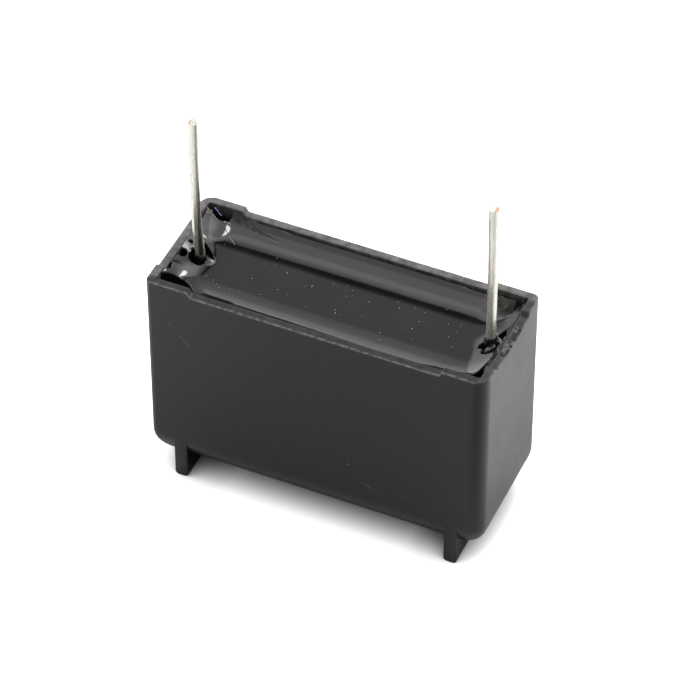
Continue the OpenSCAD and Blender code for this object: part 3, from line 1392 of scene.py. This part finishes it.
    def _left_climb(self, x: np.ndarray, y: np.ndarray) -> np.ndarray:
        """Height of the left wall's meniscus, which swells round the lead.

        Args:
            x: places along X, in millimetres.
            y: places along Y, in millimetres.

        Returns:
            The height at each place.
        """
        most, middle, half = self.left_reach
        swell = most * np.sqrt(np.clip(1.0 - ((y - middle) / half) ** 2, 0.0, 1.0))
        least, widest, start, run = self.left_corner
        least = least + (widest - least) * smooth((y - start) / run)
        power = self.left_blend
        return self._climb(self.half_x + x, self.left_climb, (swell**power + least**power) ** (1.0 / power))

    def _sheet(self, x: np.ndarray, to_back: np.ndarray) -> tuple[np.ndarray, np.ndarray]:
        """Where the second sheet of epoxy covers the back wall, from 0 to 1, and the distance to its edge.

        Args:
            x: places along X, in millimetres.
            to_back: distance of each place from the back wall.

        Returns:
            The cover and the distance, above 0 on the sheet.
        """
        places, edges = np.array(self.sheet_edge).T
        lean = np.interp(to_back, places, np.gradient(edges, places))
        past = (x - along(self.sheet_edge, to_back)) / np.hypot(1.0, lean)
        return smooth(past / self.sheet_step + 0.5), past

    def _back_climb(self, x: np.ndarray, to_back: np.ndarray) -> np.ndarray:
        """Height of the back wall's meniscus, with the edge where a second sheet ran over the first.

        Args:
            x: places along X, in millimetres.
            to_back: distance of each place from the back wall.

        Returns:
            The height at each place.
        """
        start, run = self.back_fade
        fade = np.clip(1.0 - np.clip((x - start) / run, 0.0, 1.0) ** 2, 0.0, 1.0) ** self.fade_power
        most, least = self.back_reach
        reach = least + (most - least) * fade
        rise, rise_from, rise_run = self.back_rise
        climb = self.back_climb + rise * smooth((x - rise_from) / rise_run)
        upper = self._climb(to_back, climb, reach)
        lower = self._climb(np.maximum(to_back, self.sheet_foot), climb, reach)
        bare = np.clip(self.sheet_foot - to_back, 0.0, None)
        lower = lower - self.crease * smooth(bare / self.crease_run) + self.bare_bend * bare**2
        sheet, past = self._sheet(x, to_back)
        end, end_run = self.edge_end
        edge = self.edge_crease * np.exp(-((past / self.edge_width) ** 2))
        return lower + sheet * (upper - lower) - edge * smooth((end - to_back) / end_run)

    def _height(self, x: np.ndarray, y: np.ndarray) -> np.ndarray:
        """Height of the potting's surface at each place, above the plane that the ribs stand on.

        Args:
            x: places along X, in millimetres.
            y: places along Y, in millimetres.

        Returns:
            The height at each place.
        """
        front = self._climb(self.half_y + y, along(self.front_climb, x), self.front_reach)
        back = np.clip(self._back_climb(x, self.half_y - y), 0.0, None)
        others = (back, self._left_climb(x, y), self._right_climb(x, y))
        height = sum(climb**self.side_blend for climb in others) ** (1.0 / self.side_blend)
        power = self.front_blend
        height = (front**power + height**power) ** (1.0 / power)
        for swelling in self.corners + self.flares + self.blisters:
            height = height + swelling.height_at(x, y)
        low, high = self.height_limit
        turn, run = self.limit_turn
        limit = low + (high - low) * smooth((np.abs(x) - turn) / run)
        power = self.limit_power
        height = height / (1.0 + np.clip(height / limit, 0.0, None) ** power) ** (1.0 / power)
        holes = self.pits + (self.front_brink, self.right_brink, self.back_brink)
        level = self.fill_z + height - np.max([hole.depth_at(x, y) for hole in holes], axis=0)
        return np.max([level, self._shelf(x, y)] + [collar.level_at(x, y) for collar in self.collars], axis=0)

    def _shelf(self, x: np.ndarray, y: np.ndarray) -> np.ndarray:
        """Height of the narrow shelf of epoxy that stayed on the right wall, far down where there is none.

        Args:
            x: places along X, in millimetres.
            y: places along Y, in millimetres.

        Returns:
            The height at each place.
        """
        edge, top, start, stop = self.shelf
        edge_run, start_run, stop_run = self.shelf_runs
        wave = sum(size * np.sin(rate * y + phase) for size, rate, phase in self.shelf_waves)
        gaps = ((edge + wave - x) / edge_run, (start - y) / start_run, (y - stop) / stop_run)
        out = sum(smooth(gap) for gap in gaps)
        return top + self.shelf_slope * (x - edge) - self.shelf_drop * out

    def drape(self, places: Knots, above: float) -> np.ndarray:
        """Points that lie that far above the cast surface."""
        x, y = np.array(places).T
        return np.c_[x, y, self._height(x, y) + above]

    def _skin(self, x: np.ndarray, y: np.ndarray) -> np.ndarray:
        """How much of a dull brown skin shows at each place, from 0 to 1.

        Args:
            x: places along X, in millimetres.
            y: places along Y, in millimetres.

        Returns:
            The share at each place.
        """
        to_back = self.half_y - y
        bare = (1.0 - self._sheet(x, to_back)[0]) * smooth((self.sheet_foot - to_back) / self.skin_run + 0.5)
        (start, start_run), (end, end_run) = self.skin_start, self.skin_end
        return bare * smooth((x - start) / start_run) * smooth((end - x) / end_run)

    def build(self) -> bpy.types.Object:
        """Make the potting as a closed block with its cast surface and give the finished piece.

        Returns:
            The piece cast_potting.
        """
        lap = np.array([self.half_x, self.half_y]) + self.wall_lap
        columns, rows = (np.linspace(-half, half, int(2 * half / self.grid_step)) for half in lap)
        x, y = np.meshgrid(columns, rows)
        top = np.c_[x.ravel(), y.ravel(), self._height(x, y).ravel()]
        number = np.arange(len(top)).reshape(x.shape)
        corners = (number[:-1, :-1], number[:-1, 1:], number[1:, 1:], number[1:, :-1])
        faces = np.stack([corner.ravel() for corner in corners], axis=-1).tolist()
        border = np.r_[number[0, :-1], number[:-1, -1], number[-1, :0:-1], number[:0:-1, 0]]
        points, loops = [top], [border]
        for turn in np.linspace(0.0, QUARTER, self.bottom_steps):
            inset = self.bottom_round * (1.0 - math.cos(turn))
            height = self.floor_z + self.bottom_round * (1.0 - math.sin(turn))
            ring = top[border, :2] * ((lap - inset) / lap)
            loops.append(np.arange(len(border)) + sum(len(part) for part in points))
            points.append(np.c_[ring, np.full(len(border), height)])
        for upper, lower in zip(loops, loops[1:]):
            faces += np.stack([upper, lower, np.roll(lower, -1), np.roll(upper, -1)], axis=-1).tolist()
        faces.append(loops[-1][::-1].tolist())
        piece = mesh_object("cast_potting", np.vstack(points), faces, self.finish.material("cast_epoxy"))
        matt = np.max([spot.depth_at(x, y) for spot in self.matt_spots], axis=0)
        mark(piece.data, skin=self._skin(x, y), matt=matt)
        hand_over(piece, Slot.POTTING, "potting", sharp_angle=60.0)
        return piece


@dataclass(frozen=True)
class PaintedWireShade:
    """Painted shade on a flank of a wire, for the dark potting it mirrors: heights, where it starts across
    the wire at each, its end and strength.
    """

    low_z: float
    high_z: float
    start_low: float
    start_high: float
    end: float
    strength: float
    start_run: float = 0.16
    end_run: float = 0.14
    fade: float = 0.45
    top_run: float = 0.15

    def level_at(self, across: np.ndarray, z: np.ndarray) -> np.ndarray:
        """Strength of the painted shade at each place, across from -1 to 1.

        Args:
            across: place across the wire, as a share of its radius.
            z: height, in millimetres.

        Returns:
            The strength at each place.
        """
        height = np.clip((z - self.low_z) / (self.high_z - self.low_z), 0.0, 1.0)
        start = self.start_low + (self.start_high - self.start_low) * height
        flank = smooth((across - start) / self.start_run) * smooth((self.end - across) / self.end_run)
        return self.strength * flank * (1.0 - self.fade * height) * smooth((1.0 - height) / self.top_run)


@dataclass
class Lead:
    """Tinned wire from its weld to a sheared tip; sway gives its place along X at heights, in millimetres."""

    node: str
    side: int
    sway: Knots
    wire_shade: PaintedWireShade
    shade_toward: Pair = (0.913, 0.408)
    tip_ridge: float = 0.2
    inner_cut: float = 10.0
    outer_cut: float = 30.0
    sides: int = 40
    step: float = 0.25
    over_length: float = 0.3

    def __post_init__(self) -> None:
        """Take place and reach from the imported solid."""
        low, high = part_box(self.node)
        self.radius = (high.y - low.y) / 2 / MM
        self.y = (high.y + low.y) / 2 / MM
        self.low_z, self.high_z = low.z / MM, high.z / MM

    def _path(self, passes: int = 12) -> np.ndarray:
        """Centre line of the wire with its bends eased, past the tip that is cut off it.

        Args:
            passes: rounds of easing.

        Returns:
            One row of x, y, z per point.
        """
        heights = np.arange(self.low_z, self.high_z + self.over_length, self.step)
        x = along(tuple((height, place) for place, height in self.sway), heights)
        for _ in range(passes):
            x[1:-1] = (x[:-2] + 2.0 * x[1:-1] + x[2:]) / 4.0
        return np.c_[x, np.full(len(heights), self.y), heights]

    def _shear(self, piece: bpy.types.Object, tip: Vector) -> None:
        """Cut the two faces of the tip; the outer one bares the copper.

        Args:
            piece: swept wire.
            tip: end of its centre line, in metres.
        """
        cut = bmesh.new()
        cut.from_mesh(piece.data)
        ridge = tip + Vector((self.side * self.tip_ridge, 0.0, 0.0)) * MM
        for toward, fall, material in ((-self.side, self.inner_cut, 0), (self.side, self.outer_cut, 1)):
            slope = math.radians(fall)
            normal = Vector((toward * math.sin(slope), 0.0, math.cos(slope)))
            whole = cut.verts[:] + cut.edges[:] + cut.faces[:]
            found = bmesh.ops.bisect_plane(cut, geom=whole, plane_co=ridge, plane_no=normal, clear_outer=True)
            edges = [item for item in found["geom_cut"] if isinstance(item, bmesh.types.BMEdge)]
            for face in bmesh.ops.contextual_create(cut, geom=edges)["faces"]:
                face.material_index = material
        cut.to_mesh(piece.data)
        cut.free()

    def _paint_shade(self, mesh: bpy.types.Mesh, line: np.ndarray) -> None:
        """Write how much painted shade each point of the wire takes, from 0 to 1, for the finish to read.

        Args:
            mesh: mesh of the wire.
            line: its centre line, in millimetres.
        """
        x, y, z = points_of(mesh).T
        toward_x, toward_y = self.shade_toward
        off_line = x - np.interp(z, line[:, 2], line[:, 0])
        across = (off_line * toward_x + (y - self.y) * toward_y) / self.radius
        mark(mesh, tarnish=np.clip(self.wire_shade.level_at(across, z), 0.0, 1.0))

    def build(self, sweep: GeometryTree, tin: bpy.types.Material, copper: bpy.types.Material) -> None:
        """Make the lead.

        Args:
            sweep: tree that sweeps the wire along its line.
            tin: material of the plating.
            copper: material of the bare cut.
        """
        line = self._path()
        piece = swept_object(self.node + "_wire", line, self.radius, self.sides, sweep, tin)
        piece.data.materials.append(copper)
        tip = (np.interp(self.high_z, line[:, 2], line[:, 0]), self.y, self.high_z)
        self._shear(piece, Vector(tip) * MM)
        self._paint_shade(piece.data, line)
        hand_over(piece, Slot.WIRE, self.node, sharp_angle=35.0)


@dataclass(frozen=True)
class Strand:
    """Fine strand on the potting, such as lint or a violet strand that is a painted reflection; sizes in
    millimetres.
    """

    name: str
    line: Sequence[Sequence[float]]
    radius: float
    finish: TwoTone
    sides: int = 10
    steps: int = 6

    def build(self, sweep: GeometryTree) -> None:
        """Make the strand with a tree that sweeps a section along a line.

        Args:
            sweep: tree that sweeps a section along a line.
        """
        knots = np.array(self.line)
        share = np.linspace(0.0, len(knots) - 1.0, self.steps * len(knots))
        path = np.stack([np.interp(share, np.arange(len(knots)), axis) for axis in knots.T], axis=-1)
        piece = swept_object(self.name, path, self.radius, self.sides, sweep, self.finish.material())
        hand_over(piece, Slot.POTTING, sharp_angle=60.0)


@dataclass(frozen=True)
class Lamp:
    """Soft area lamp that looks down: place and size in metres, and its radiance against white."""

    name: str
    place: Triple
    size: Pair
    level: float

    def build(self) -> None:
        """Add the lamp to the scene."""
        data = bpy.data.lights.new(self.name, "AREA")
        data.shape = "RECTANGLE"
        data.size, data.size_y = self.size
        data.energy = self.level * math.pi * self.size[0] * self.size[1]
        made = add_object(self.name, data)
        made.location = self.place
        made.rotation_mode = "QUATERNION"
        made.rotation_quaternion = Vector((0.0, 0.0, -1.0)).to_track_quat("-Z", "Y")


@dataclass(frozen=True)
class Glow:
    """Soft round patch of light in the sky: direction, level, and the angles of its edge and full level."""

    toward: Triple
    level: float
    edge: float
    full: float


@dataclass
class Studio:
    """White paper, soft light and the camera, in metres and degrees; sky gives the light at each height."""

    azimuth: float = 24.06
    elevation: float = 44.17
    distance: float = 0.410
    aim: Triple = (0.000883, 0.0, 0.01824)
    lens: float = 208.355
    sensor: float = 36.0
    clip: Pair = (0.01, 20.0)
    paper_size: float = 6.0
    sky: Knots = (
        (0.0, 1.4), (20.0, 1.4), (22.0, 1.1), (38.5, 1.1), (41.5, 0.80), (45.0, 0.80), (49.0, 0.34),
        (53.0, 0.05), (62.5, 0.05), (64.5, 0.85), (90.0, 0.85),
    )
    glows: tuple[Glow, ...] = (
        Glow((0.39, 0.50, 0.773), 2.3, 36.9, 8.1),
        Glow((0.46, 0.57, 0.681), 18.0, 8.5, 2.6),
        Glow((-0.12, 0.05, 0.9915), 20.0, 3.7, 1.0),
        Glow((-0.1, -0.72, 0.69), 1.2, 20.0, 8.0),
    )
    right_fill: float = 0.85
    right_edge: Pair = (-0.07, 0.08)
    left_fill: float = 1.1
    left_edge: Pair = (-0.38, -0.50)
    front_dim: float = 0.45
    front_edge: Pair = (-0.1, -0.5)
    seam_dim: float = 0.9
    seam_x: tuple[Pair, Pair] = ((-0.235, -0.205), (-0.135, -0.165))
    seam_y: Pair = (0.3, 0.5)
    seam_z: tuple[Pair, Pair] = ((0.58, 0.64), (0.84, 0.78))
    lamps: tuple[Lamp, ...] = (
        Lamp("overhead_box", (-0.15, 0.14, 0.74), (0.9, 0.119), 0.65),
        Lamp("overhead_wide", (-0.15, 0.121, 0.75), (0.9, 0.442), 1.12),
        Lamp("overhead_front", (-0.15, -0.275, 0.74), (0.9, 0.35), 0.5),
    )

    def _paper(self) -> None:
        """Lay the paper under the part."""
        half = self.paper_size / 2 / MM
        corners = np.array([(-half, -half, 0), (half, -half, 0), (half, half, 0), (-half, half, 0)])
        paper = mesh_object("paper", corners, [(0, 1, 2, 3)], WhitePaper().material("white_paper"))

    def _sky(self) -> None:
        """Light from all round: backdrop, gap and ceiling by height, side fills, glows and a dark seam."""
        world = bpy.data.worlds.new("studio")
        world.use_nodes = True
        tree = NodeTree(world.node_tree)
        direction = tree.node("ShaderNodeTexCoord").outputs["Generated"]
        parts = tree.node("ShaderNodeSeparateXYZ", None, {0: direction}).outputs
        stops = [(math.sin(math.radians(height)), level) for height, level in self.sky]
        ramp = tree.node("ShaderNodeValToRGB", {"stops": stops}, {0: parts[2]})
        x, y, z = (Signal(tree, part) for part in parts)
        level = Signal(tree, ramp.outputs[0]).most(x.step(*self.right_edge) * self.right_fill)
        level = level + x.step(*self.left_edge) * self.left_fill
        for glow in self.glows:
            edge, full = (math.cos(math.radians(angle)) for angle in (glow.edge, glow.full))
            near = x * glow.toward[0] + y * glow.toward[1] + z * glow.toward[2]
            level = level + near.step(edge, full) * glow.level
        level = level * (1.0 - y.step(*self.front_edge) * self.front_dim)
        (left, right), (foot, top) = self.seam_x, self.seam_z
        seam = x.step(*left) * x.step(*right) * y.step(*self.seam_y) * z.step(*foot) * z.step(*top)
        level = level * (1.0 - seam * self.seam_dim)
        light = tree.node("ShaderNodeBackground", None, {"Color": WHITE, "Strength": level})
        tree.node("ShaderNodeOutputWorld", None, {"Surface": light.outputs[0]})
        bpy.context.scene.world = world

    def _camera(self) -> None:
        """Place the camera at the photograph's viewing angle."""
        data = bpy.data.cameras.new("camera")
        data.lens = self.lens
        data.sensor_width = self.sensor
        data.sensor_fit = "HORIZONTAL"
        data.clip_start, data.clip_end = self.clip
        turn, lift = math.radians(self.azimuth), math.radians(self.elevation)
        toward = Vector((math.sin(turn) * math.cos(lift), -math.cos(turn) * math.cos(lift), math.sin(lift)))
        camera = add_object("camera", data)
        camera.location = Vector(self.aim) + toward * self.distance
        camera.rotation_mode = "QUATERNION"
        camera.rotation_quaternion = (-toward).to_track_quat("-Z", "Y")
        bpy.context.scene.camera = camera

    def build(self) -> None:
        """Set up paper, light and camera."""
        self._paper()
        self._sky()
        for lamp in self.lamps:
            lamp.build()
        self._camera()
        bpy.context.scene.view_settings.view_transform = "Standard"


def dress_inner_solids() -> None:
    """Give the sealed roll and its sprayed ends their finishes."""
    film, zinc = WOUND_FILM.material(), SPRAYED_ZINC.material()
    for node, material in (("winding", film), ("end_spray_left", zinc), ("end_spray_right", zinc)):
        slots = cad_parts[node].data.materials
        slots.clear()
        slots.append(material)


def strew_dust(potting: bpy.types.Object) -> None:
    """Strew dust over the level potting.

    Args:
        potting: piece that the dust lies on.
    """
    sizes = {"Least Size": (3e-5, 3e-5, 1.5e-5), "Most Size": (1.1e-4, 7e-5, 3e-5)}
    values = {"Density": 2.6e5, "Seed": 11, "Level": 0.985, "Material": DUST.material(), **sizes}
    hand_over(add_object("dust_grains", grain_scatter().run(potting, values)), Slot.POTTING)


def main() -> None:
    """Build the part and its studio."""
    logging.basicConfig(level=logging.INFO, format="%(name)s: %(message)s")
    Studio().build()
    MouldedCase().build()
    casting = CastPotting()
    potting = casting.build()
    sweep = wire_sweep()
    tin, copper = TinnedWire().material("tinned_wire"), BARE_COPPER.material()
    left_sway = ((-15.75, 0.0), (-15.75, 24.9), (-15.9, 27.3), (-16.05, 29.4), (-16.13, 38.0), (-16.07, 43.5))
    right_sway = ((15.88, 0.0), (15.9, 25.0), (15.95, 29.4), (15.94, 34.0), (15.87, 38.5), (15.82, 43.5))
    # painted shade on the leads, for the dark potting they mirror: the left lead's lower flank and a seam
    # down the right lead
    left_flank_shade = PaintedWireShade(26.0, 36.0, -0.2, 0.75, 0.93, 0.95)
    right_seam_shade = PaintedWireShade(26.0, 36.0, -0.04, -0.2, 0.16, 0.6)
    Lead("lead_left", -1, left_sway, left_flank_shade).build(sweep, tin, copper)
    Lead("lead_right", 1, right_sway, right_seam_shade).build(sweep, tin, copper)
    # violet strand in the back left corner: a painted reflection
    violet_glint = ((-16.98, 6.13, 26.03), (-16.74, 6.12, 25.79), (-16.49, 6.1, 25.47), (-16.16, 6.0, 25.3))
    Strand("violet_glint", violet_glint, 0.065, VIOLET_GLINT).build(sweep)
    fibre = ((-15.45, 4.75), (-14.95, 4.42), (-14.5, 4.05), (-14.05, 3.7), (-13.65, 3.4), (-13.3, 3.1))
    Strand("lint", casting.drape(fibre, 0.02), 0.035, LINT).build(sweep)
    dress_inner_solids()
    strew_dust(potting)


if __name__ == "__main__":
    main()
